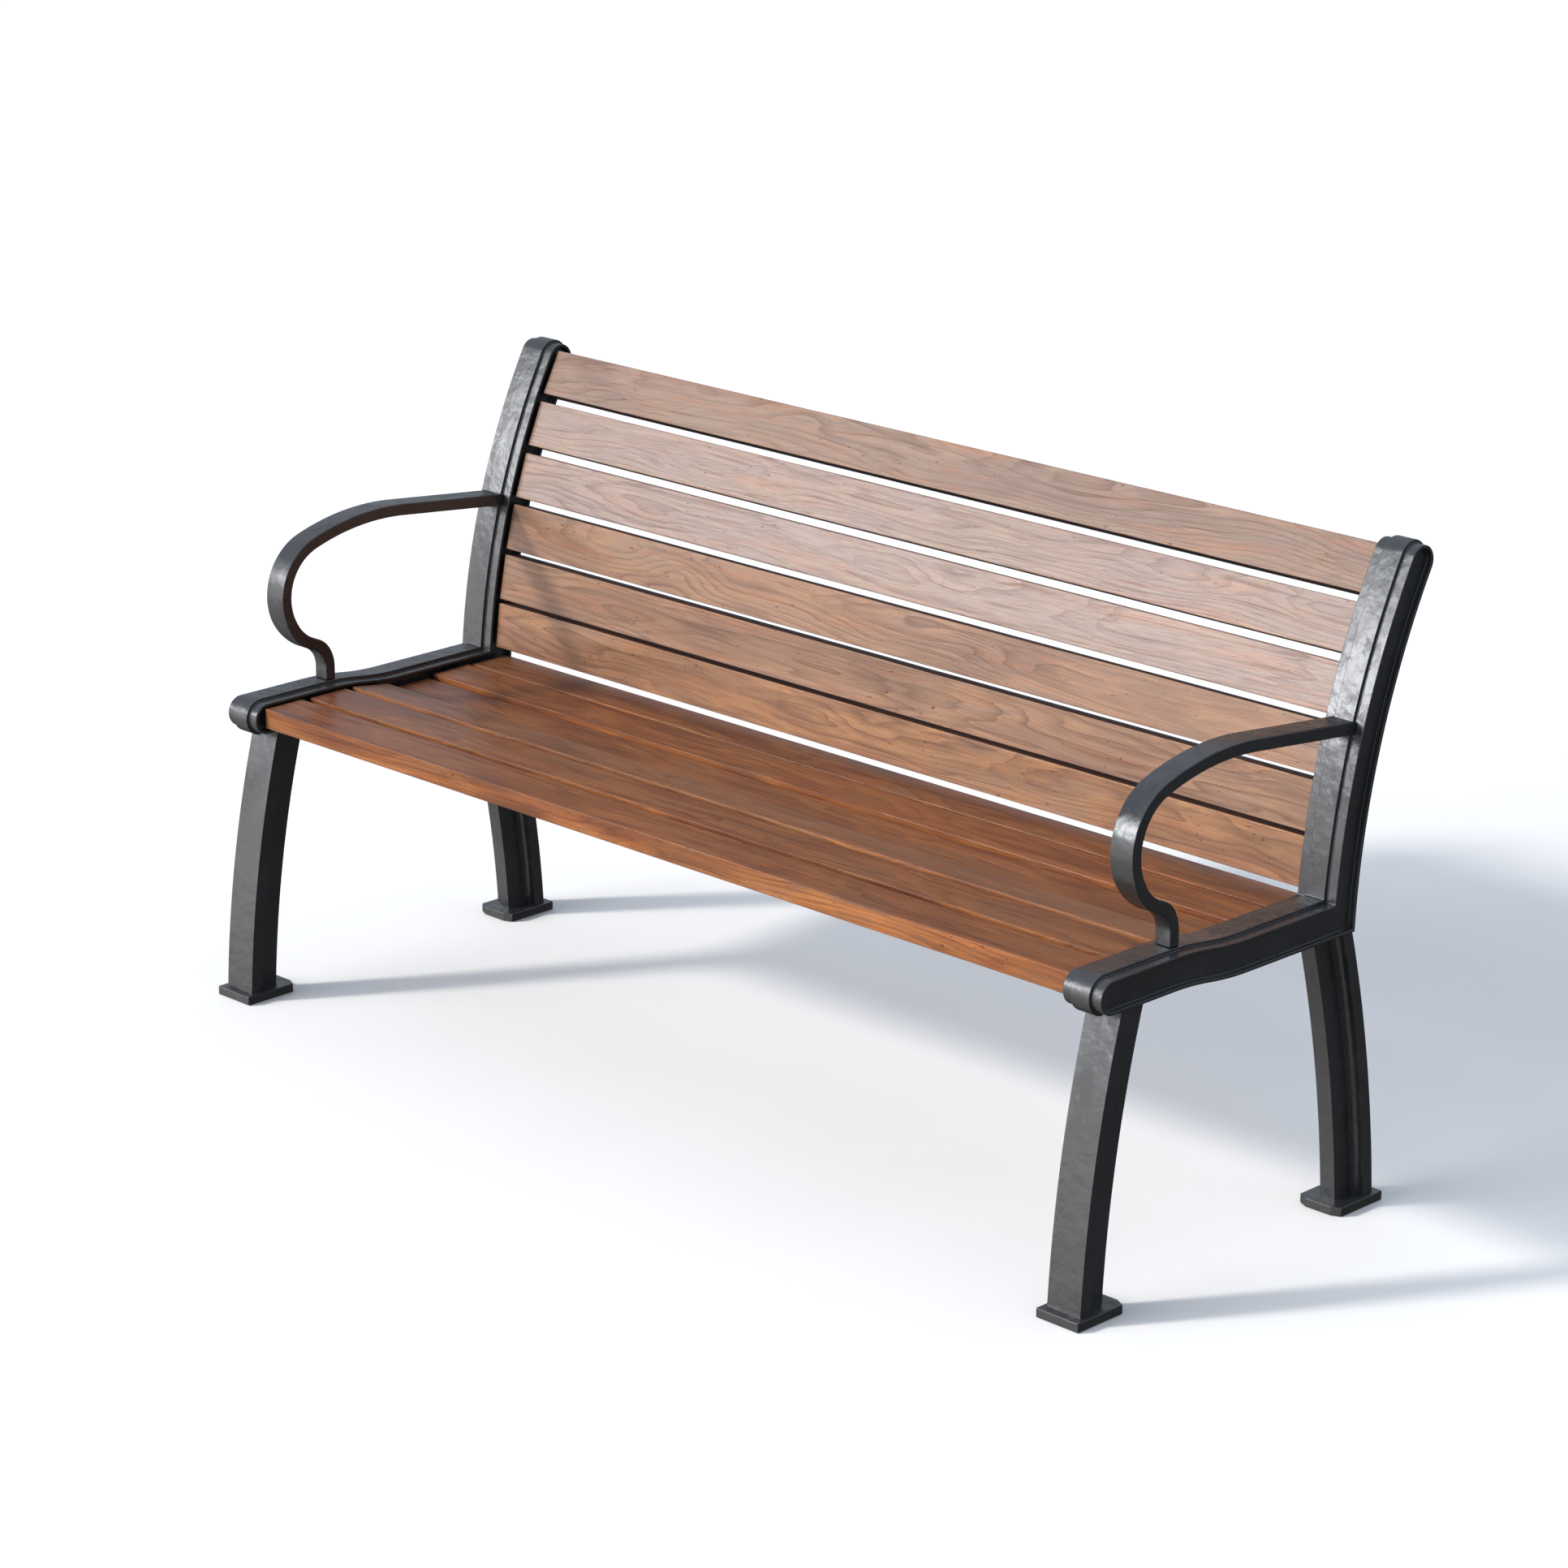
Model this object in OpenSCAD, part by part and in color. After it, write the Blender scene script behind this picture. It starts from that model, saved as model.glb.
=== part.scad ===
// Garden bench: two end frames, four curved legs on foot pads, two looped armrests
// and twelve timber slats screwed to short lugs on the inside of the end frames.
// X runs along the bench, Y from front to back, Z up from the floor.

/* [Bench] */
// Distance between the middles of the two end frames
frame_pitch = 1500; // [900:10:2000]
// Front edge of the front pads to the rear edge of the rear pads
foot_span = 556; // [500:1:600]
// Height of the side rail's top face at the front
rail_top = 415; // [400:1:440]

/* [End frame] */
// Width of the side rail and upright
bar_w = 58.5; // [50:0.5:70]
// Depth of the side rail
rail_depth = 42; // [36:0.5:48]
// Depth of the upright from front to back
upright_depth = 41; // [36:0.5:46]
// Thickness of the rim around the recessed side faces
rim_t = 4; // [3:0.5:6]
// Depth of the recess in each side face
recess = 7.5; // [4:0.5:12]
// Width of the raised band along the outside
band_w = 29; // [20:0.5:36]
// Height of the raised band
band_rise = 4; // [2:0.5:6]
// How much lower the rail is at the back than at the front
rail_drop = 9.5; // [4:0.5:14]
// Where the rail starts to drop, from the front pads' front edge
drop_start = 160; // [120:5:200]
// Length of the stretch over which the rail drops
drop_length = 130; // [80:5:180]
// Front end of the rail, from the front pads' front edge
rail_front = 32; // [20:1:50]
// Front face of the upright where it leaves the rail
upright_front = 448.5; // [430:0.5:465]
// Radius of the upright's front face
upright_r = 1000; // [800:10:1400]
// Lean of the upright where it leaves the rail
lean_low = 4.8; // [2:0.1:8]
// Lean of the upright at its top
lean_top = 29.1; // [24:0.1:32]

/* [Legs] */
// Radius of the legs' outer face
leg_r = 1640; // [1400:10:2000]
// Height of the centre of that curve, below the floor
leg_centre_drop = 78; // [0:1:150]
// Depth of a leg from its outer face to the back of its rib
leg_depth = 54; // [44:0.5:60]
// Width of a leg's outer flange
flange_w = 51; // [40:0.5:56]
// Thickness of a leg's outer flange
flange_t = 16.5; // [10:0.5:20]
// Width of a leg's rib
rib_w = 22; // [16:0.5:28]
// Radius of the hollow between the flange and the rib
rib_fillet = 9; // [4:0.5:12]

/* [Foot pads] */
// Width of a pad along the bench
pad_w = 65; // [58:0.5:80]
// Length of a pad from front to back
pad_l = 84; // [76:0.5:100]
// Thickness of a pad
pad_t = 12; // [8:0.5:16]
// Gap between a pad's outer edge and its leg
pad_margin = 11.5; // [6:0.5:16]
// Corner cut on a pad, along the bench
pad_cut_x = 13; // [6:0.5:20]
// Corner cut on a pad, from front to back
pad_cut_y = 6.5; // [4:0.5:12]

/* [Armrests] */
// Thickness of the armrest bar
arm_t = 16; // [10:0.5:18]
// Width of the armrest bar on top
arm_w = 35; // [29:0.5:44]
// Width of the armrest bar at its foot
arm_foot_w = 24; // [18:0.5:28]
// Middle of the armrest's foot, from the front pads' front edge
arm_foot = 177.5; // [170:0.5:190]
// Height of the straight foot above the rail's raised band
arm_foot_h = 18; // [10:0.5:30]
// Radius of the small bend above the foot
arm_bend_r = 38.5; // [34:0.5:42]
// Turn of the small bend above the foot
arm_bend_turn = 70.4; // [66:0.1:74]
// Radius of the front loop
arm_loop_r = 75; // [68:0.5:80]
// Turn of the front loop
arm_loop_turn = 141.5; // [138:0.1:144]
// Radius of the shallow curve behind the loop
arm_top_r = 366; // [300:2:420]
// Turn of the shallow curve behind the loop
arm_top_turn = 25; // [22:0.1:27]

/* [Slats] */
// Width of a slat
slat_w = 63; // [56:0.5:64]
// Thickness of a slat
slat_t = 27.5; // [18:0.5:28]
// Gap between a slat's end and the end frame
slat_end_gap = 2; // [1:0.5:6]
// Chamfer along a slat's long edges
slat_chamfer = 1.5; // [0.5:0.5:3]
// Front edge of the first seat slat, from the front pads' front edge
seat_start = 46.5; // [40:0.5:52]
// Depth of the first seat slat's top face below the rail's top
seat_inset = 5; // [2:0.5:8]
// Gap between the first two seat slats
seat_gap = 13.4; // [12:0.1:14]
// How much smaller each next gap in the seat is
seat_gap_step = 1.6; // [1.2:0.1:2]
// Depth of the back slats' front faces behind the upright's front face
back_inset = 8; // [5:0.5:12]
// Angle on the upright's curve at which the lowest back slat starts
back_start = 5.15; // [4.8:0.05:5.6]
// Gap between the two lowest back slats
back_gap_low = 5.4; // [3:0.1:8]
// Gap between the two highest back slats
back_gap_high = 11.2; // [8:0.1:12]

/* [Slat fixings] */
// Thickness of a lug
lug_t = 5; // [4.5:0.5:8]
// Width of a lug
lug_w = 42; // [38:1:52]
// How far a lug reaches inwards past the end frame
lug_reach = 40; // [30:1:60]
// Diameter of a screw's shank
screw_d = 6; // [4:0.5:8]
// Diameter of a screw's countersunk head
screw_head_d = 11.5; // [10:0.5:13]
// Depth of a screw in the timber
screw_bite = 16; // [10:0.5:17]
// Distance between the two screws in a lug
screw_spacing = 22; // [18:1:24]

/* [Hidden] */
$fn = 360;
LEFT = -1;
RIGHT = 1;
FAR = 2000;
CUT = 1;
SCREW_SIDES = 32;
KEY_SIDES = 6;
SPARE_TURN = 1;
LARGE_R = 200;
LARGE_R_STEP = 1;
SMALL_R_STEP = 5;
metal = "#33373a";
timber = "#a9683d";
zinc = "#9aa0a4";

// Upright: an arc about a centre behind the bench
rail_back_top = rail_top - rail_drop;
upright_c = [
    upright_front + upright_r * cos(lean_low),
    rail_back_top - upright_r * sin(lean_low)
];
upright_mid_r = upright_r - upright_depth / 2;
top_nose = upright_c + upright_mid_r * [-cos(lean_top), sin(lean_top)];
bench_depth = top_nose[0] + upright_depth / 2 + band_rise;

// Side rail: flat at the front, two equal bends down, flat at the back
drop_angle = 2 * atan(rail_drop / drop_length);
drop_mid_r = drop_length / 2 / sin(drop_angle);
rail_mid_front = rail_top - rail_depth / 2;
rail_mid_back = rail_mid_front - rail_drop;
drop_c1 = [drop_start, rail_mid_front - drop_mid_r];
drop_c2 = [drop_start + drop_length, rail_mid_back + drop_mid_r];
front_nose = [rail_front + rail_depth / 2, rail_mid_front];
rail_under_front = rail_top - rail_depth;
rail_under_back = rail_under_front - rail_drop;

// Armrest: the middle line goes up from its foot, forwards, round the loop and back
arm_foot_z = rail_top + band_rise;
arm_bend_c = [arm_foot - arm_bend_r, arm_foot_z + arm_foot_h];
arm_p1 = arm_bend_c + arm_bend_r * [cos(arm_bend_turn), sin(arm_bend_turn)];
arm_h1 = 90 + arm_bend_turn;
arm_loop_c = arm_p1 + arm_loop_r * [sin(arm_h1), -cos(arm_h1)];
arm_h2 = arm_h1 - arm_loop_turn;
arm_top_c = arm_loop_c + (arm_loop_r - arm_top_r) * [-sin(arm_h2), cos(arm_h2)];
arm_h3 = arm_h2 - arm_top_turn;
arm_p3 = arm_top_c + arm_top_r * [-sin(arm_h3), cos(arm_h3)];
arm_seat_y = upright_c[0] - sqrt(pow(upright_mid_r, 2) - pow(arm_p3[1] - upright_c[1], 2));
arm_seat = [arm_seat_y, arm_p3[1] + (arm_seat_y - arm_p3[0]) * tan(arm_h3)];
arm_taper_low = arm_p1[1] - arm_t;
arm_taper_high = arm_p1[1] + arm_bend_r;

// Slats
inner_face = frame_pitch / 2 - bar_w / 2;
web_face = inner_face + recess;
slat_l = 2 * (inner_face - slat_end_gap);
slat_n = 6;
// Turn by which the back's gaps grow, slat by slat, along a sine
back_gap_turn = 25;
// How much lower than the first each seat slat lies, and how far it tips back
seat_drop = [0, 1, 1, 18, 14, 14];
seat_tilt = [0, 0, -8, 0, 1, 0];
back_face_r = upright_r - back_inset;
back_chord_r = sqrt(back_face_r * back_face_r - slat_w * slat_w / 4);
slat_arc = 2 * asin(slat_w / 2 / back_face_r);
screw_x = inner_face - lug_reach / 2;
screw_clearance = 0.2;
screw_head_h = 3.5;
screw_key_af = 4;
screw_key_depth = 2.2;
lug_corner = 8;

function seat_y(i) = seat_start + i * (slat_w + seat_gap) - seat_gap_step * i * (i - 1) / 2;
function back_gap(i) = back_gap_low + (back_gap_high - back_gap_low) * sin(min(90, back_gap_turn * i));
function arc_of(length) = length / back_face_r * 180 / PI;
function back_angle(i) =
    i == 0 ? back_start : back_angle(i - 1) + slat_arc + arc_of(back_gap(i - 1));

// Points along an arc from angle a0 to angle a1, closer together on small radii
function arc(centre, r, a0, a1) =
    let (steps = ceil(abs(a1 - a0) / (r > LARGE_R ? LARGE_R_STEP : SMALL_R_STEP)))
    [for (i = [0:steps]) let (a = a0 + (a1 - a0) * i / steps) centre + r * [cos(a), sin(a)]];

function reverse(points) = [for (i = [len(points) - 1:-1:0]) points[i]];

// Angle on a circle about the upright's centre at which it crosses a height
function crossing(r, height) = 180 - asin((height - upright_c[1]) / r);

// Side frame's outline from under the front end, over the rail and up the front of the
// upright to behind the top end; inset moves it into the metal
function shown_edge(inset) =
    let (half = rail_depth / 2 - inset, r = upright_r - inset)
    concat(
        arc(front_nose, half, 270, 90),
        arc(drop_c1, drop_mid_r + half, 90, 90 - drop_angle),
        arc(drop_c2, drop_mid_r - half, 270 - drop_angle, 270),
        arc(upright_c, r, crossing(r, rail_mid_back + half), 180 - lean_top),
        arc(top_nose, upright_depth / 2 - inset, 180 - lean_top, -lean_top)
    );

// Rest of the outline, down the back of the upright and forwards under the rail
function hidden_edge(inset) =
    let (half = rail_depth / 2 - inset, r = upright_r - upright_depth + inset)
    concat(
        arc(upright_c, r, 180 - lean_top, crossing(r, rail_mid_back - half)),
        arc(drop_c2, drop_mid_r + half, 270, 270 - drop_angle),
        arc(drop_c1, drop_mid_r - half, 90 - drop_angle, 90)
    );

// Armrest's edge from its foot to the upright, at a distance to the right of its middle line
function arm_edge(side) =
    concat(
        [[arm_foot + side, arm_foot_z - band_rise]],
        arc(arm_bend_c, arm_bend_r + side, 0, arm_bend_turn),
        arc(arm_loop_c, arm_loop_r - side, 90 + arm_h1, 90 + arm_h2),
        arc(arm_top_c, arm_top_r - side, 90 + arm_h2, 90 + arm_h3),
        [arm_seat + side * [sin(arm_h3), -cos(arm_h3)]]
    );

// Puts a flat outline, drawn as Y and Z, upright and makes it width thick along X
module across(width) {
    rotate([90, 0, 90])
        linear_extrude(width, center = true)
            children();
}

// Moves a side's parts to its end of the bench, with the origin under the middle
module at_side(side) {
    translate([side * frame_pitch / 2, -bench_depth / 2, 0])
        children();
}

module side_outline(inset) {
    polygon(concat(shown_edge(inset), hidden_edge(inset)));
}

// Raised band: it starts rim_t inside the metal
module band_outline() {
    polygon(concat(shown_edge(-band_rise), reverse(shown_edge(rim_t))));
}

// Everything that one side frame fills, without the recesses in its sides
module side_envelope() {
    across(bar_w)
        side_outline(0);
    across(band_w)
        band_outline();
}

module side_frame() {
    pocket = recess + CUT;
    color(metal)
        difference() {
            side_envelope();
            for (side = [LEFT, RIGHT])
                translate([side * (bar_w / 2 - recess + pocket / 2), 0, 0])
                    across(pocket)
                        side_outline(rim_t);
        }
}

// T-shaped section of a leg: its distance from the curve's centre, and X
module leg_section() {
    rib_r = leg_r - leg_depth;
    web_r = leg_r - flange_t;
    corner = rib_w / 2 + rib_fillet;
    difference() {
        union() {
            translate([web_r, -flange_w / 2])
                square([flange_t, flange_w]);
            translate([rib_r, -rib_w / 2])
                square([leg_depth, rib_w]);
            translate([web_r - rib_fillet, -corner])
                square([rib_fillet + flange_t / 2, 2 * corner]);
        }
        for (side = [LEFT, RIGHT])
            translate([web_r - rib_fillet, side * corner])
                circle(rib_fillet);
    }
}

// Front leg; the rear one is its mirror image, under a lower stretch of rail
module leg(under_rail) {
    outer_y = pad_margin + sqrt(leg_r * leg_r - pow(leg_centre_drop + pad_t, 2));
    top_angle = asin((leg_centre_drop + under_rail) / (leg_r - leg_depth)) + SPARE_TURN;
    color(metal)
        intersection() {
            translate([0, outer_y, -leg_centre_drop])
                rotate([90, 0, 90])
                    rotate([0, 0, 180 - top_angle])
                        rotate_extrude(angle = top_angle)
                            leg_section();
            translate([-flange_w, -FAR / 2, pad_t])
                cube([2 * flange_w, FAR, under_rail - pad_t]);
        }
}

// Front pad: its two inner corners are cut off
module foot_pad() {
    w = pad_w / 2;
    color(metal)
        linear_extrude(pad_t)
            polygon([
                [-w, 0], [w, 0], [w, pad_l - pad_cut_y], [w - pad_cut_x, pad_l],
                [pad_cut_x - w, pad_l], [-w, pad_l - pad_cut_y]
            ]);
}

// Turns a front part round to the rear
module rearward() {
    translate([0, foot_span, 0])
        mirror([0, 1, 0])
            children();
}

// Armrest seen from the front: narrow at its foot, wider above the small bend
module arm_front_shape() {
    low = arm_foot_w / 2;
    high = arm_w / 2;
    polygon([
        [-low, 0], [low, 0], [low, arm_taper_low], [high, arm_taper_high],
        [high, FAR], [-high, FAR], [-high, arm_taper_high], [-low, arm_taper_low]
    ]);
}

module armrest() {
    color(metal)
        difference() {
            intersection() {
                across(arm_w)
                    polygon(concat(arm_edge(arm_t / 2), reverse(arm_edge(-arm_t / 2))));
                translate([0, FAR, 0])
                    rotate([90, 0, 0])
                        linear_extrude(FAR)
                            arm_front_shape();
            }
            side_envelope();
        }
}

// A slat lies with its show face on top at height 0 and its near edge on Y = 0
module slat_blank() {
    c = slat_chamfer;
    across(slat_l)
        polygon([
            [c, -slat_t], [slat_w - c, -slat_t], [slat_w, c - slat_t], [slat_w, -c],
            [slat_w - c, 0], [c, 0], [0, -c], [0, c - slat_t]
        ]);
}

// Repeats its children at the four screws of a slat, with the slat's underside at height 0
module at_screws() {
    for (x = [-screw_x, screw_x], y = [-1, 1])
        translate([x, slat_w / 2 + y * screw_spacing / 2, -slat_t])
            children();
}

module slat() {
    color(timber)
        difference() {
            slat_blank();
            at_screws()
                translate([0, 0, -CUT])
                    cylinder(h = screw_bite + CUT, d = screw_d, $fn = SCREW_SIDES);
        }
}

// Countersunk solid of a screw's head and shank, from the lug's underside up
module screw_shape(length, extra) {
    translate([0, 0, -lug_t])
        cylinder(h = length, d = screw_d + extra, $fn = SCREW_SIDES);
    translate([0, 0, -lug_t])
        cylinder(h = screw_head_h, d1 = screw_head_d + extra, d2 = screw_d + extra, $fn = SCREW_SIDES);
}

// Screw driven up through a lug, with a hexagonal key recess in its head
module screw() {
    color(zinc)
        difference() {
            screw_shape(lug_t + screw_bite, 0);
            translate([0, 0, -lug_t - CUT])
                cylinder(h = screw_key_depth + CUT, d = screw_key_af / cos(30), $fn = KEY_SIDES);
        }
}

// Lug under one end of a slat, from the end frame's web inwards, with countersunk holes
module lug(side) {
    near = (slat_w - lug_w) / 2;
    far = near + lug_w;
    inner = side * (inner_face - lug_reach);
    corner = inner + side * lug_corner;
    outer = side * web_face;
    difference() {
        translate([0, 0, -slat_t - lug_t])
            linear_extrude(lug_t)
                polygon([
                    [inner, near + lug_corner], [corner, near], [outer, near],
                    [outer, far], [corner, far], [inner, far - lug_corner]
                ]);
        at_screws()
            screw_shape(lug_t + CUT, screw_clearance);
    }
}

module at_seat(i) {
    translate([0, seat_y(i) - bench_depth / 2, rail_top - seat_inset - seat_drop[i]])
        rotate([seat_tilt[i], 0, 0])
            children();
}

module at_back(i) {
    translate([0, upright_c[0] - bench_depth / 2, upright_c[1]])
        rotate([90 - back_angle(i) - slat_arc / 2, 0, 0])
            translate([0, -slat_w / 2, back_chord_r])
                children();
}

// Where a lug can be: between the end frames, or inside the recess of one
module lug_room(side) {
    translate([-inner_face, -FAR / 2, 0])
        cube([2 * inner_face, FAR, FAR]);
    at_side(side)
        across(bar_w)
            side_outline(rim_t);
}

module seat_lugs(side) {
    color(metal)
        for (i = [0:slat_n - 1])
            intersection() {
                at_seat(i)
                    lug(side);
                lug_room(side);
            }
}

module back_lugs(side) {
    color(metal)
        for (i = [0:slat_n - 1])
            intersection() {
                at_back(i)
                    lug(side);
                lug_room(side);
            }
}

module seat_slat(i) {
    at_seat(i - 1)
        slat();
}

module back_slat(i) {
    at_back(i - 1)
        slat();
}

module seat_screws() {
    for (i = [0:slat_n - 1])
        at_seat(i)
            at_screws()
                screw();
}

module back_screws() {
    for (i = [0:slat_n - 1])
        at_back(i)
            at_screws()
                screw();
}

at_side(LEFT) side_frame();  // left_side_frame
at_side(RIGHT) side_frame();  // right_side_frame
at_side(LEFT) leg(rail_under_front);  // left_front_leg
at_side(LEFT) rearward() leg(rail_under_back);  // left_rear_leg
at_side(RIGHT) leg(rail_under_front);  // right_front_leg
at_side(RIGHT) rearward() leg(rail_under_back);  // right_rear_leg
at_side(LEFT) foot_pad();  // left_front_foot_pad
at_side(LEFT) rearward() foot_pad();  // left_rear_foot_pad
at_side(RIGHT) foot_pad();  // right_front_foot_pad
at_side(RIGHT) rearward() foot_pad();  // right_rear_foot_pad
at_side(LEFT) armrest();  // left_armrest
at_side(RIGHT) armrest();  // right_armrest
seat_slat(1);  // seat_slat_1
seat_slat(2);  // seat_slat_2
seat_slat(3);  // seat_slat_3
seat_slat(4);  // seat_slat_4
seat_slat(5);  // seat_slat_5
seat_slat(6);  // seat_slat_6
back_slat(1);  // back_slat_1
back_slat(2);  // back_slat_2
back_slat(3);  // back_slat_3
back_slat(4);  // back_slat_4
back_slat(5);  // back_slat_5
back_slat(6);  // back_slat_6
seat_lugs(LEFT);  // left_seat_lugs
back_lugs(LEFT);  // left_back_lugs
seat_lugs(RIGHT);  // right_seat_lugs
back_lugs(RIGHT);  // right_back_lugs
seat_screws();  // seat_slat_screws
back_screws();  // back_slat_screws
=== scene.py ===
"""Looks for the garden bench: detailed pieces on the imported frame, materials, light and camera."""
import math
import random

import bmesh
import bpy
import numpy as np
from mathutils import Matrix, Vector, noise


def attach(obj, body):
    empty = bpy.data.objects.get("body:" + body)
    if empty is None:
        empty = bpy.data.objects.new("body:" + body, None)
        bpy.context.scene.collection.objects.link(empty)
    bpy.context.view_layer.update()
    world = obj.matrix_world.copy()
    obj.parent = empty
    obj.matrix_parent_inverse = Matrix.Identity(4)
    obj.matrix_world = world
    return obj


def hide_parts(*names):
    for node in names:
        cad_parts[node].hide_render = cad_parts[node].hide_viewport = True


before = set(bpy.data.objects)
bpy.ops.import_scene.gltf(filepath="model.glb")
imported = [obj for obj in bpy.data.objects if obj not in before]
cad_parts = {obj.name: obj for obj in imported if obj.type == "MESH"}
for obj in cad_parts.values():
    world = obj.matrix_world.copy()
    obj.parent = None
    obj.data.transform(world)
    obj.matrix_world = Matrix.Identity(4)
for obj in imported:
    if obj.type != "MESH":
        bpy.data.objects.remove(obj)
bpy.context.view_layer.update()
RANDOM = random.Random(7)


# ---------------------------------------------------------------- camera and light

VIEW_AZIMUTH = math.radians(45.07)
VIEW_ELEVATION = math.radians(17.99)
CAMERA_PLACE = Vector((4.1048, -4.095, 2.2929))
LENS_MM = 110.34

# A bright patch of sky at the front left. Each pair is where the patch starts and where it is
# full, along GLOW_WAY for the width and in a direction's Z for the foot and the top.
GLOW_WAY = (-0.485, -0.875, 0.0)
GLOW_WIDTH = (0.83, 0.96)
GLOW_FOOT = (0.168, 0.21)
GLOW_TOP = (0.68, 0.50)
GLOW_COLOUR = (15.5, 15.7, 16.2, 1)
SKY_LOW = (0.38, 0.42, 0.48)
SKY_HIGH = (0.66, 0.73, 0.84)
GROUND_BEHIND = (0.115, 0.115, 0.12, 1)
GROUND_NEAR = (0.72, 0.70, 0.68, 1)
GROUND_FAR = (1.9, 1.86, 1.82, 1)
BACKDROP = (1, 1, 1, 1)

KEY_AZIMUTH = 35
KEY_ELEVATION = 31
KEY_STRENGTH = 2.7
KEY_BLUR = 6.0
KEY_COLOUR = (1.0, 0.94, 0.86)


def make_camera():
    data = bpy.data.cameras.new("camera")
    data.sensor_width = 36.0
    data.lens = LENS_MM
    camera = bpy.data.objects.new("camera", data)
    camera.location = CAMERA_PLACE
    camera.rotation_euler = (math.pi / 2 - VIEW_ELEVATION, 0, VIEW_AZIMUTH)
    bpy.context.scene.collection.objects.link(camera)
    bpy.context.scene.camera = camera


def make_key():
    """A far light. Its azimuth is measured from straight in front of the bench towards the left."""
    data = bpy.data.lights.new("key", "SUN")
    data.energy = KEY_STRENGTH
    data.angle = math.radians(KEY_BLUR)
    data.color = KEY_COLOUR
    light = bpy.data.objects.new("key", data)
    light.rotation_euler = (math.radians(90 - KEY_ELEVATION), 0, math.radians(-KEY_AZIMUTH))
    light.visible_glossy = False
    bpy.context.scene.collection.objects.link(light)


def make_surroundings():
    """Pale blue surroundings, brighter at the front left, behind a plain white backdrop."""
    g = Graph(bpy.data.worlds.new("studio"))
    direction = g.node("ShaderNodeTexCoord").outputs["Generated"]
    height = g.node("ShaderNodeSeparateXYZ", Vector=direction).outputs["Z"]
    forward = g.vector("DOT_PRODUCT", direction, GLOW_WAY)
    above = g.span(height, -0.02, 0.02)
    glow = g.math("MULTIPLY", g.span(forward, *GLOW_WIDTH), g.span(height, *GLOW_FOOT))
    glow = g.math("MULTIPLY", glow, g.span(height, *GLOW_TOP))
    sky = g.ramp(g.span(height, 0.0, 1.0), [(0.0, SKY_LOW), (1.0, SKY_HIGH)])
    ahead = g.mix(g.span(height, -0.30, -0.12), GROUND_NEAR, GROUND_FAR)
    ground = g.mix(g.span(forward, 0.1, 0.9), GROUND_BEHIND, ahead)
    light = g.mix(above, ground, sky)
    light = g.mix(glow, light, GLOW_COLOUR)
    light = g.mix(g.node("ShaderNodeLightPath").outputs["Is Camera Ray"], light, BACKDROP)
    g.plug(g.tree.nodes["Background"].inputs["Color"], light)
    bpy.context.scene.world = g.owner


# ---------------------------------------------------------------- shader helpers

class Graph:
    """Short ways to add and join the nodes of a material or a world."""

    def __init__(self, owner):
        owner.use_nodes = True
        self.owner = owner
        self.tree = owner.node_tree
        self.shader = self.tree.nodes.get("Principled BSDF")

    def node(self, kind, **values):
        made = self.tree.nodes.new(kind)
        for key, value in values.items():
            if hasattr(made, key):
                setattr(made, key, value)
            else:
                self.plug(made.inputs[key.replace("_", " ")], value)
        return made

    def plug(self, socket, value):
        if isinstance(value, bpy.types.NodeSocket):
            self.tree.links.new(value, socket)
        else:
            socket.default_value = value

    def math(self, operation, a, b=0.0):
        made = self.node("ShaderNodeMath", operation=operation)
        self.plug(made.inputs[0], a)
        self.plug(made.inputs[1], b)
        return made.outputs[0]

    def vector(self, operation, a, b=(0, 0, 0), scale=1.0):
        made = self.node("ShaderNodeVectorMath", operation=operation)
        self.plug(made.inputs[0], a)
        self.plug(made.inputs[1], b)
        if operation == "SCALE":
            self.plug(made.inputs["Scale"], scale)
        return made.outputs["Value" if operation in ("LENGTH", "DOT_PRODUCT") else "Vector"]

    def noise(self, vector, scale, detail=4.0, roughness=0.55, distortion=0.0):
        made = self.node("ShaderNodeTexNoise", noise_dimensions="3D")
        self.plug(made.inputs["Vector"], vector)
        made.inputs["Scale"].default_value = scale
        made.inputs["Detail"].default_value = detail
        made.inputs["Roughness"].default_value = roughness
        made.inputs["Distortion"].default_value = distortion
        return made.outputs["Fac"], made.outputs["Color"]

    def ramp(self, factor, stops):
        made = self.node("ShaderNodeValToRGB")
        self.plug(made.inputs["Fac"], factor)
        ramp = made.color_ramp
        while len(ramp.elements) < len(stops):
            ramp.elements.new(0.5)
        for element, (place, colour) in zip(ramp.elements, stops):
            element.position = place
            element.color = (*colour, 1)
        return made.outputs["Color"]

    def span(self, value, low, high, to_low=0.0, to_high=1.0):
        made = self.node("ShaderNodeMapRange")
        for key, number in (("Value", value), ("From Min", low), ("From Max", high),
                            ("To Min", to_low), ("To Max", to_high)):
            self.plug(made.inputs[key], number)
        return made.outputs[0]

    def mix(self, factor, a, b, blend="MIX"):
        made = self.node("ShaderNodeMix", data_type="RGBA", blend_type=blend)
        self.plug(made.inputs[0], factor)
        self.plug(made.inputs[6], a)
        self.plug(made.inputs[7], b)
        return made.outputs[2]

    def bump(self, height, strength, distance):
        made = self.node("ShaderNodeBump")
        made.inputs["Strength"].default_value = strength
        made.inputs["Distance"].default_value = distance
        self.plug(made.inputs["Height"], height)
        return made.outputs["Normal"]


# ---------------------------------------------------------------- timber

RINGS_PER_METRE = 210.0
FLECK = (0.025, 0.012, 0.008, 1)


def stretched(g, place, along, across):
    """A place in the log, scaled so that a pattern of it runs along the grain."""
    return g.vector("MULTIPLY", place, (along, across, across))


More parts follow.
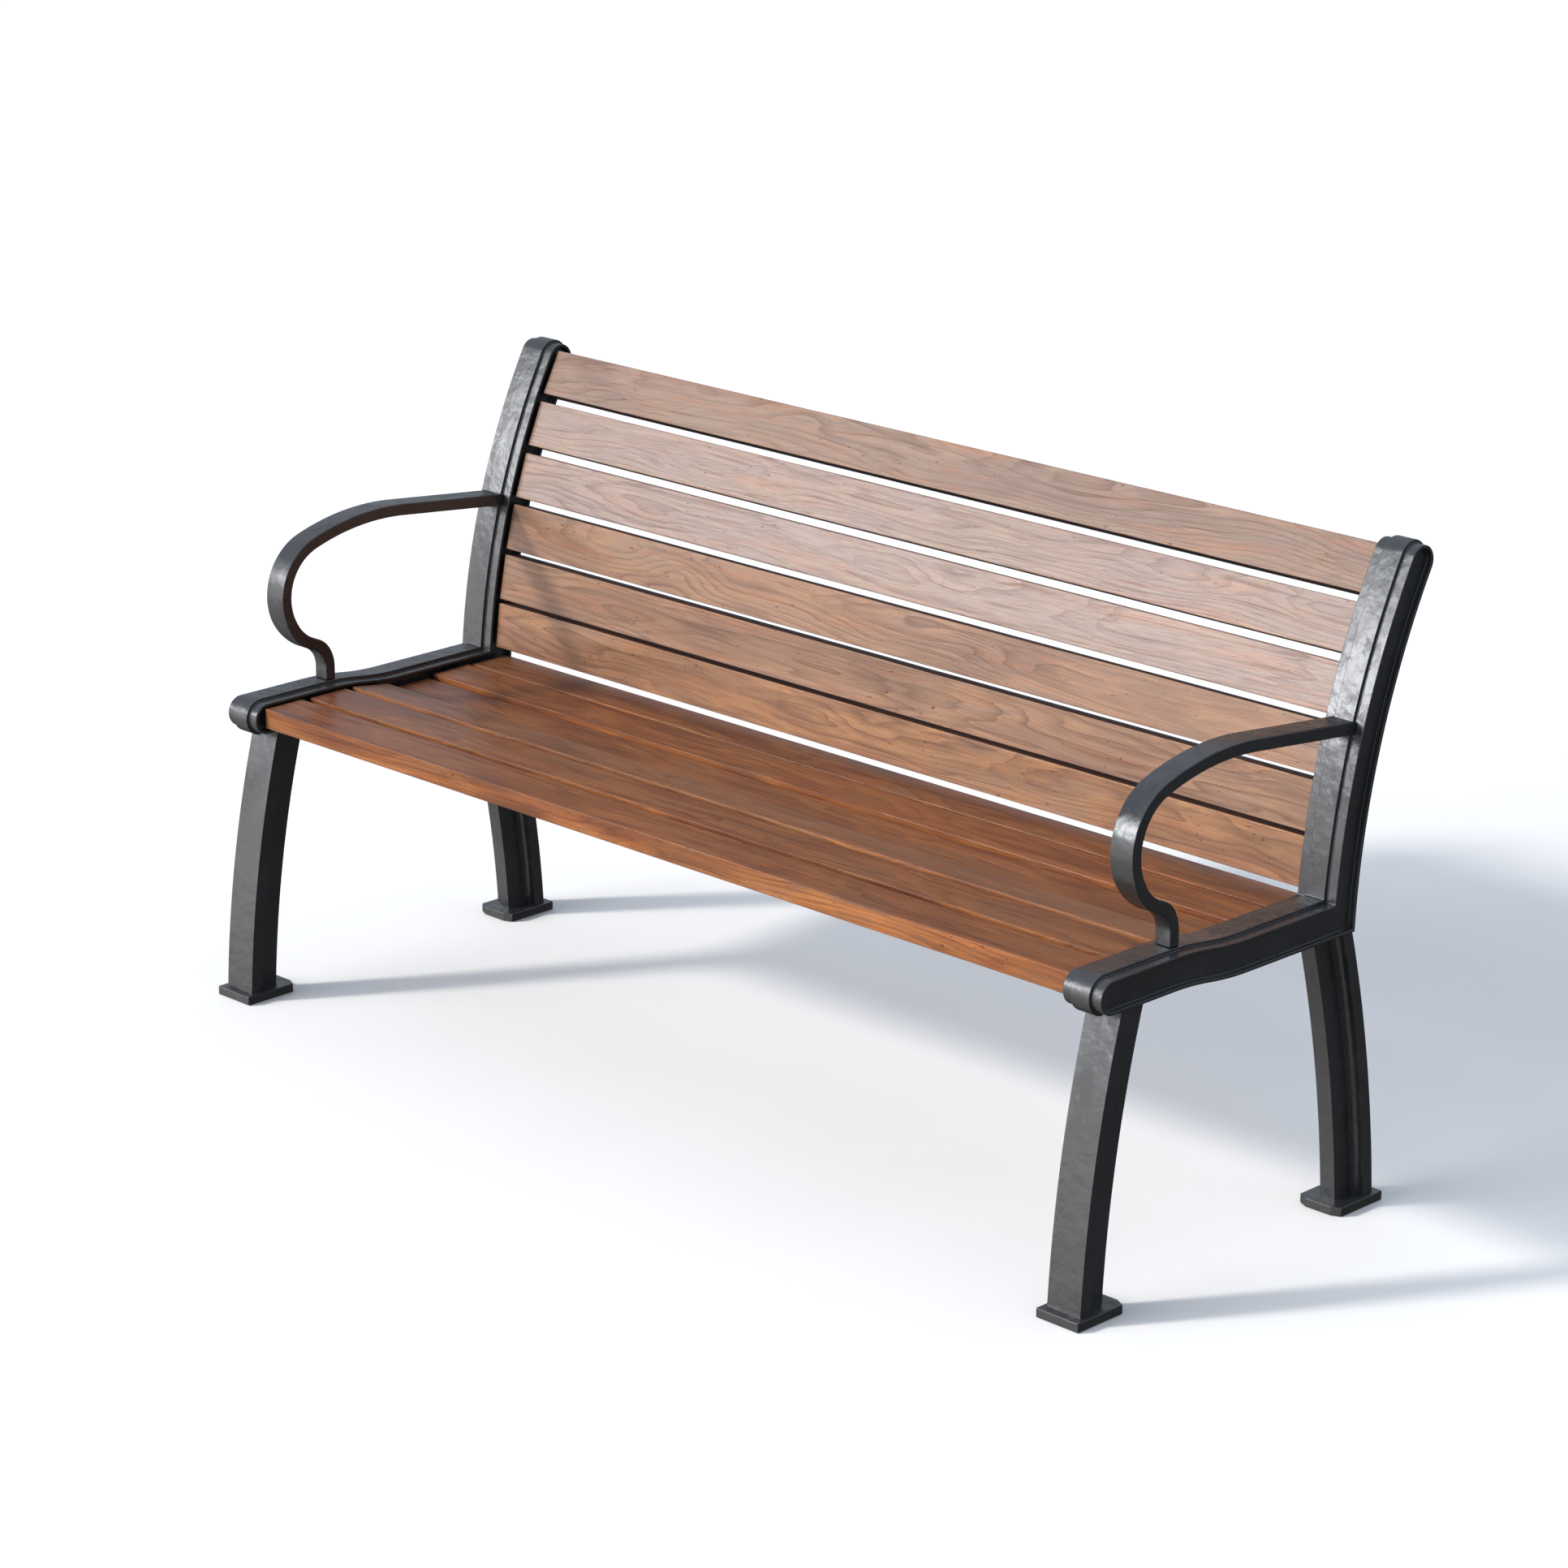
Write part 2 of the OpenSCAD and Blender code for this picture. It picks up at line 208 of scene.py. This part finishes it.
def corner_mask(g, radius):
    """1 along a piece's corners and 0 on its flat faces."""
    corner = g.node("ShaderNodeBevel", samples=6)
    corner.inputs["Radius"].default_value = radius
    flat = g.node("ShaderNodeNewGeometry").outputs["Normal"]
    alike = g.vector("DOT_PRODUCT", corner.outputs["Normal"], flat)
    return g.span(g.math("SUBTRACT", 1.0, alike), 0.02, 0.16)


def timber(name, tones, polish):
    """Flat-sawn hardwood with rings round a wandering pith, worked out from each board's place in the log."""
    g = Graph(bpy.data.materials.new(name))
    place = g.node("ShaderNodeAttribute", attribute_name="log").outputs["Vector"]

    _, wander = g.noise(stretched(g, place, 1.6, 7.0), 1.0, 2.0, 0.5)
    wander = g.vector("SCALE", g.vector("SUBTRACT", wander, (0.5, 0.5, 0.5)), scale=0.045)
    _, curl = g.noise(stretched(g, place, 4.5, 19.0), 1.0, 1.0, 0.4)
    curl = g.vector("SCALE", g.vector("SUBTRACT", curl, (0.5, 0.5, 0.5)), scale=0.022)
    bent = g.vector("ADD", g.vector("ADD", place, wander), curl)

    cell = g.node("ShaderNodeTexVoronoi", Vector=stretched(g, place, 3.2, 11.0), Scale=1.0)
    lot = g.node("ShaderNodeSeparateXYZ", Vector=cell.outputs["Color"]).outputs["X"]
    chosen = g.math("GREATER_THAN", lot, 0.6)
    eye = g.math("MULTIPLY", g.span(cell.outputs["Distance"], 0.34, 0.0), chosen)
    eye = g.math("POWER", eye, 1.6)

    radius = g.vector("LENGTH", g.vector("MULTIPLY", bent, (0, 1, 1)))
    radius = g.math("ADD", radius, g.math("MULTIPLY", eye, 0.022))
    unevenness, _ = g.noise(g.vector("MULTIPLY", place, (0.0, 30.0, 30.0)), 1.0, 2.0)
    ring = g.math("ADD", g.math("MULTIPLY", radius, RINGS_PER_METRE), g.math("MULTIPLY", unevenness, 3.0))
    phase = g.math("FRACT", ring)
    line = g.ramp(phase, [(0.0, (0.0,) * 3), (0.5, (0.06,) * 3), (0.84, (0.6,) * 3),
                          (0.92, (1.0,) * 3), (0.98, (0.1,) * 3), (1.0, (0.0,) * 3)])
    patch, _ = g.noise(stretched(g, place, 3.5, 16.0), 1.0, 2.0)
    line = g.math("MULTIPLY", line, g.span(patch, 0.36, 0.54, 0.35, 1.0))

    fibre, _ = g.noise(stretched(g, bent, 6.0, 520.0), 1.0, 3.0, 0.6)
    streak, _ = g.noise(stretched(g, bent, 2.6, 210.0), 1.0, 3.0, 0.55)
    streak = g.span(streak, 0.55, 0.68)
    pore, _ = g.noise(stretched(g, place, 26.0, 1500.0), 1.0, 1.0, 0.5)
    pore = g.span(pore, 0.6, 0.72)
    cloud, _ = g.noise(stretched(g, bent, 4.5, 22.0), 1.0, 3.0, 0.55, 0.3)
    stain, _ = g.noise(stretched(g, bent, 2.2, 36.0), 1.3, 3.0, 0.55, 0.4)
    flame, _ = g.noise(stretched(g, bent, 3.0, 60.0), 1.0, 3.0, 0.6)
    fleck, _ = g.noise(stretched(g, place, 95.0, 260.0), 1.0, 1.0, 0.5)
    fleck = g.span(fleck, 0.73, 0.77)

    colour = g.ramp(cloud, tones["ground"])
    colour = g.mix(g.span(stain, 0.52, 0.68, 0.0, tones["stain_share"]), colour, (*tones["stain"], 1))
    # pale: weathering, and on the back slats also a painted sheen of the bright sky.
    pale = g.node("ShaderNodeAttribute", attribute_name="pale").outputs["Fac"]
    colour = g.mix(pale, colour, (*tones["pale"], 1))
    colour = g.mix(g.span(flame, 0.53, 0.68, 0.0, tones["flame_share"]), colour, (*tones["flame"], 1))
    colour = g.mix(g.math("MULTIPLY", line, tones["ring_share"]), colour, (*tones["ring"], 1))
    colour = g.mix(g.math("MULTIPLY", streak, tones["streak_share"]), colour, (*tones["stain"], 1))
    colour = g.mix(g.span(fibre, 0.4, 0.64, 0.0, 0.55), colour, (*tones["fibre"], 1), "MULTIPLY")
    colour = g.mix(g.math("MULTIPLY", pore, 0.4), colour, (*tones["stain"], 1))
    colour = g.mix(g.math("MULTIPLY", g.span(eye, 0.6, 0.9), 0.6), colour, (*tones["ring"], 1))
    colour = g.mix(g.math("MULTIPLY", fleck, 0.75), colour, FLECK)
    # Narrow faces: the seat's front and rear faces are lightened as painted light, and the back's top and
    # bottom faces are darkened as painted shade between the slats.
    side = g.node("ShaderNodeAttribute", attribute_name="side").outputs["Fac"]
    narrow_face_light_and_shade = g.mix(g.span(patch, 0.36, 0.62), (*tones["side"][0], 1), (*tones["side"][1], 1))
    colour = g.mix(side, colour, g.mix(1.0, colour, narrow_face_light_and_shade, "MULTIPLY"))
    # Corner colour: on the seat a lighter orange, wear plus a painted highlight along the edges; on the back
    # a darker tone, painted shade along the edges.
    corner_tone = corner_mask(g, 0.002)
    colour = g.mix(g.math("MULTIPLY", corner_tone, 0.5), colour, (*tones["edge"], 1))
    g.plug(g.shader.inputs["Base Color"], colour)

    rough = g.span(cloud, 0.38, 0.62, polish - 0.015, polish + 0.03)
    rough = g.math("ADD", rough, g.math("MULTIPLY", g.math("MAXIMUM", pore, streak), 0.12))
    rough = g.math("ADD", rough, g.math("MULTIPLY", g.math("MAXIMUM", side, corner_tone), 0.3))
    g.plug(g.shader.inputs["Roughness"], rough)
    g.shader.inputs["Specular IOR Level"].default_value = tones["gloss"]

    grain = g.math("ADD", g.math("MULTIPLY", line, -0.6), g.math("MULTIPLY", fibre, 0.5))
    grain = g.math("ADD", grain, g.math("MULTIPLY", g.math("MAXIMUM", pore, streak), -0.6))
    g.plug(g.shader.inputs["Normal"], g.bump(grain, 0.16, 0.0004))
    return g.owner


SEAT_TONES = {
    "ground": [(0.36, (0.145, 0.049, 0.019)), (0.46, (0.20, 0.068, 0.024)),
               (0.54, (0.25, 0.094, 0.031)), (0.63, (0.20, 0.084, 0.038))],
    "stain": (0.07, 0.021, 0.014), "stain_share": 0.5,
    # The seat's edge colour is wear plus a painted highlight along the corners.
    "ring": (0.075, 0.022, 0.010), "ring_share": 0.6, "edge": (0.50, 0.20, 0.055),
    # The seat's side tone lightens its front and rear faces, painted light on the strips seen between the
    # slats.
    "side": ((0.85, 0.80, 0.66), (1.5, 1.5, 1.2)), "pale": (0.27, 0.16, 0.10),
    "flame": (0.34, 0.11, 0.03), "flame_share": 0.45,
    "fibre": (0.62, 0.5, 0.44), "streak_share": 0.45, "gloss": 0.38,
}
BACK_TONES = {
    "ground": [(0.36, (0.24, 0.126, 0.074)), (0.46, (0.27, 0.143, 0.079)),
               (0.54, (0.34, 0.178, 0.090)), (0.63, (0.29, 0.168, 0.104))],
    "stain": (0.12, 0.060, 0.040), "stain_share": 0.4,
    # The back's edge colour is painted shade along the corners.
    "ring": (0.11, 0.055, 0.036), "ring_share": 0.7, "edge": (0.24, 0.12, 0.07),
    # The back's side tone darkens its top and bottom faces, painted shade in the gaps between the slats; its
    # pale tone is partly a painted sheen.
    "side": ((0.22, 0.20, 0.26), (0.35, 0.30, 0.35)), "pale": (0.20, 0.168, 0.155),
    "flame": (0.33, 0.135, 0.065), "flame_share": 0.4,
    "fibre": (0.66, 0.56, 0.5), "streak_share": 0.5, "gloss": 0.31,
}


# How pale each slat is, from the seat's front and from the back's foot: weathering, and on the back slats
# also a painted sheen, the bright sky's reflection painted into their colour.
SEAT_BLEACH = (0.0, 0.05, 0.15, 0.05, 0.0, 0.15)
BACK_BLEACH_AND_SHEEN = (0.0, 0.25, 0.25, 0.6, 0.6, 0.55)


# ---------------------------------------------------------------- painted metal

def painted_casting():
    """Charcoal powder coat on a slightly uneven casting, thinner and lighter along its edges."""
    g = Graph(bpy.data.materials.new("frame_metal"))
    place = g.node("ShaderNodeTexCoord").outputs["Object"]
    cloud, _ = g.noise(place, 14.0, 4.0, 0.6)
    dent, _ = g.noise(place, 55.0, 2.0, 0.5)
    speck, _ = g.noise(place, 900.0, 2.0, 0.6)
    stain, _ = g.noise(place, 42.0, 5.0, 0.72, 0.8)

    corner_tone = g.math("MULTIPLY", corner_mask(g, 0.003), g.span(cloud, 0.42, 0.66))

    colour = g.ramp(cloud, [(0.3, (0.012, 0.013, 0.015)), (0.7, (0.022, 0.023, 0.026))])
    colour = g.mix(g.span(stain, 0.52, 0.66, 0.0, 0.6), colour, (0.007, 0.007, 0.008, 1))
    colour = g.mix(g.math("MULTIPLY", corner_tone, 0.4), colour, (0.07, 0.072, 0.075, 1))
    g.plug(g.shader.inputs["Base Color"], colour)
    g.shader.inputs["Specular IOR Level"].default_value = 1.0
    rough = g.math("ADD", g.span(cloud, 0.35, 0.65, 0.24, 0.36), g.span(stain, 0.5, 0.7, 0.0, 0.24))
    g.plug(g.shader.inputs["Roughness"], rough)
    height = g.math("ADD", dent, g.math("MULTIPLY", speck, 0.05))
    g.plug(g.shader.inputs["Normal"], g.bump(height, 0.6, 0.0018))
    return g.owner


def zinc():
    g = Graph(bpy.data.materials.new("screw_zinc"))
    place = g.node("ShaderNodeTexCoord").outputs["Object"]
    spangle, _ = g.noise(place, 350.0, 3.0)
    g.plug(g.shader.inputs["Base Color"],
           g.ramp(spangle, [(0.35, (0.33, 0.34, 0.35)), (0.65, (0.5, 0.51, 0.52))]))
    g.shader.inputs["Metallic"].default_value = 1.0
    g.plug(g.shader.inputs["Roughness"], g.span(spangle, 0.3, 0.7, 0.28, 0.45))
    g.plug(g.shader.inputs["Normal"], g.bump(spangle, 0.15, 0.0002))
    return g.owner


# ---------------------------------------------------------------- pieces

def add_piece(name, mesh, material, node):
    piece = bpy.data.objects.new(name, mesh)
    bpy.context.scene.collection.objects.link(piece)
    mesh.materials.clear()
    mesh.materials.append(material)
    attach(piece, "root")
    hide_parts(node)
    return piece


WELD_DISTANCE = 2e-5
FLAT_ANGLE = math.radians(0.2)
SHARP_ANGLE = math.radians(25)


def weigh_normals(piece):
    """Shades flat faces flat, so that only the rounded edges catch the light."""
    weighted = piece.modifiers.new("weighted_normals", "WEIGHTED_NORMAL")
    weighted.weight = 80
    return weighted


def refined(node, material, edge_radius, segments=3):
    """A CAD part with its sharp edges rounded and its curves shaded smoothly."""
    bm = bmesh.new()
    bm.from_mesh(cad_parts[node].data)
    bmesh.ops.remove_doubles(bm, verts=bm.verts, dist=WELD_DISTANCE)
    bmesh.ops.dissolve_limit(bm, angle_limit=FLAT_ANGLE, verts=bm.verts, edges=bm.edges,
                             delimit=set())
    sharp = [e for e in bm.edges if len(e.link_faces) == 2 and e.calc_face_angle(0) > SHARP_ANGLE]
    bmesh.ops.bevel(bm, geom=sharp, offset=edge_radius, segments=segments, profile=0.5,
                    affect="EDGES", clamp_overlap=True)
    for face in bm.faces:
        face.smooth = True
    mesh = bpy.data.meshes.new(node + "_cast")
    bm.to_mesh(mesh)
    bm.free()
    piece = add_piece(node + "_cast", mesh, material, node)
    weigh_normals(piece).mode = "FACE_AREA_WITH_ANGLE"


def board_frame(node, facing):
    """A CAD slat's centre, width direction, show-face normal, half width, half thickness and half length.

    facing holds rough directions for its width and its show face.
    """
    points = np.array([v.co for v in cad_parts[node].data.vertices])
    half_length = points[:, 0].max()
    end = np.unique(points[points[:, 0] > half_length - 1e-5][:, 1:].round(6), axis=0)
    centre = end.mean(0)
    _, _, directions = np.linalg.svd(end - centre)
    across = Vector((0, *directions[0]))
    normal = Vector((0, *directions[1]))
    for direction, rough in zip((across, normal), facing):
        if direction.dot(Vector(rough)) < 0:
            direction.negate()
    spread = (end - centre) @ directions.T
    return Vector((0, *centre)), across, normal, spread[:, 0].max(), spread[:, 1].max(), half_length


LENGTH_STEPS = 96
CORNER_STEPS = 4
CORNER_RADIUS = 0.0015
CORNER_WEAR = 0.0006
RIPPLE = 0.00012
END_ROUND = 0.0015


def slat(node, material, facing, bleach_and_sheen):
    """One board: rounded edges that are a little more rubbed here and there, and slightly wavy faces.

    The last argument is how far it is paled, from 0 to 1: weathering, and on the back slats also a painted
    sheen.
    """
    centre, across, normal, half_w, half_t, half_l = board_frame(node, facing)
    seed = Vector([RANDOM.uniform(-50, 50) for _ in range(3)])
    pith = Vector((0, RANDOM.uniform(-0.035, 0.035), RANDOM.choice((-1, 1)) * RANDOM.uniform(0.02, 0.09)))
    lean = [RANDOM.uniform(-0.02, 0.02) for _ in range(2)]
    shift = RANDOM.uniform(-40, 40)

    bm = bmesh.new()
    log = bm.verts.layers.float_vector.new("log")
    side = bm.faces.layers.float.new("side")
    pale = bm.faces.layers.float.new("pale")

    def vertex(x, u, v):
        made = bm.verts.new(centre + Vector((x, 0, 0)) + across * u + normal * v)
        made[log] = Vector((x + shift, u + pith.y + lean[0] * x, v + pith.z + lean[1] * x))
        return made

    def outline(x, inset):
        """The section at x, inset on every side."""
        points = []
        for i, (su, sv) in enumerate(((1, 1), (-1, 1), (-1, -1), (1, -1))):
            wear = noise.noise(seed + Vector((x * 5, i * 9.7, 0)))
            radius = CORNER_RADIUS + CORNER_WEAR * wear
            cu = half_w - inset - radius
            cv = half_t - inset - radius
            for step in range(CORNER_STEPS + 1):
                turn = math.pi / 2 * (i + step / CORNER_STEPS)
                ripple = RIPPLE * (1 + noise.noise(seed + Vector((x * 11, turn * 2, 3))))
                points.append((su * cu + (radius - ripple) * math.cos(turn),
                               sv * cv + (radius - ripple) * math.sin(turn)))
        return points

    shoulder = END_ROUND * 0.3
    straight = 2 * (half_l - END_ROUND)
    stations = [(-half_l, END_ROUND), (-half_l + shoulder, shoulder)]
    stations += [(-half_l + END_ROUND + straight * k / LENGTH_STEPS, 0.0) for k in range(LENGTH_STEPS + 1)]
    stations += [(half_l - shoulder, shoulder), (half_l, END_ROUND)]
    loops = [[vertex(x, u, v) for u, v in outline(x, inset)] for x, inset in stations]
    for near, far in zip(loops, loops[1:]):
        for k in range(len(near)):
            j = (k + 1) % len(near)
            face = bm.faces.new((near[k], near[j], far[j], far[k]))
            # side marks the narrow faces, which the timber lightens on the seat as painted light and darkens
            # on the back as painted shade.
            face[side] = float(k % (2 * (CORNER_STEPS + 1)) == 2 * CORNER_STEPS + 1)
    bm.faces.new(list(reversed(loops[0])))
    bm.faces.new(loops[-1])
    bmesh.ops.recalc_face_normals(bm, faces=bm.faces)
    for face in bm.faces:
        face.smooth = True
        # The paleness: weathering, and on the back slats also a painted sheen.
        face[pale] = bleach_and_sheen
    mesh = bpy.data.meshes.new(node + "_board")
    bm.to_mesh(mesh)
    bm.free()
    weigh_normals(add_piece(node + "_board", mesh, material, node))


# Rough directions of a slat's width and of its show face
SEAT_FACING = ((0, 1, 0), (0, 0, 1))
BACK_FACING = ((0, 0, 1), (0, -1, 0))


def make_bench():
    metal = painted_casting()
    seat_timber = timber("seat_timber", SEAT_TONES, 0.32)
    back_timber = timber("back_timber", BACK_TONES, 0.22)
    screw = zinc()
    for side in ("left", "right"):
        refined(side + "_side_frame", metal, 0.0011)
        refined(side + "_armrest", metal, 0.003, 1)
        refined(side + "_front_leg", metal, 0.0016)
        refined(side + "_rear_leg", metal, 0.0016)
        refined(side + "_front_foot_pad", metal, 0.0012)
        refined(side + "_rear_foot_pad", metal, 0.0012)
        refined(side + "_seat_lugs", metal, 0.0005, 2)
        refined(side + "_back_lugs", metal, 0.0005, 2)
    for k in range(1, 7):
        slat(f"seat_slat_{k}", seat_timber, SEAT_FACING, SEAT_BLEACH[k - 1])
        slat(f"back_slat_{k}", back_timber, BACK_FACING, BACK_BLEACH_AND_SHEEN[k - 1])
    refined("seat_slat_screws", screw, 0.0002, 1)
    refined("back_slat_screws", screw, 0.0002, 1)


FLOOR_REACH = 30.0
FLOOR_GAP = 0.0005


def make_floor():
    """A pale floor that takes the bench's shadow and can be seen through from below."""
    g = Graph(bpy.data.materials.new("pale_floor"))
    place = g.node("ShaderNodeTexCoord").outputs["Object"]
    cloud, _ = g.noise(place, 3.0, 3.0)
    g.plug(g.shader.inputs["Base Color"],
           g.ramp(cloud, [(0.3, (0.86, 0.86, 0.86)), (0.7, (0.88, 0.88, 0.88))]))
    g.shader.inputs["Roughness"].default_value = 0.9
    g.shader.inputs["Specular IOR Level"].default_value = 0.1
    open_below = g.node("ShaderNodeMixShader")
    g.plug(open_below.inputs[0], g.node("ShaderNodeNewGeometry").outputs["Backfacing"])
    g.plug(open_below.inputs[1], g.shader.outputs["BSDF"])
    g.plug(open_below.inputs[2], g.node("ShaderNodeBsdfTransparent").outputs["BSDF"])
    g.plug(g.tree.nodes["Material Output"].inputs["Surface"], open_below.outputs[0])
    mesh = bpy.data.meshes.new("floor")
    corners = [(x * FLOOR_REACH, y * FLOOR_REACH, 0) for x, y in ((-1, -1), (1, -1), (1, 1), (-1, 1))]
    mesh.from_pydata(corners, [], [(0, 1, 2, 3)])
    mesh.materials.append(g.owner)
    floor = bpy.data.objects.new("floor", mesh)
    floor.location.z = -FLOOR_GAP
    bpy.context.scene.collection.objects.link(floor)
    floor.visible_diffuse = False
    floor.visible_glossy = False


make_camera()
make_key()
make_surroundings()
make_bench()
make_floor()
bpy.context.scene.view_settings.view_transform = "Standard"
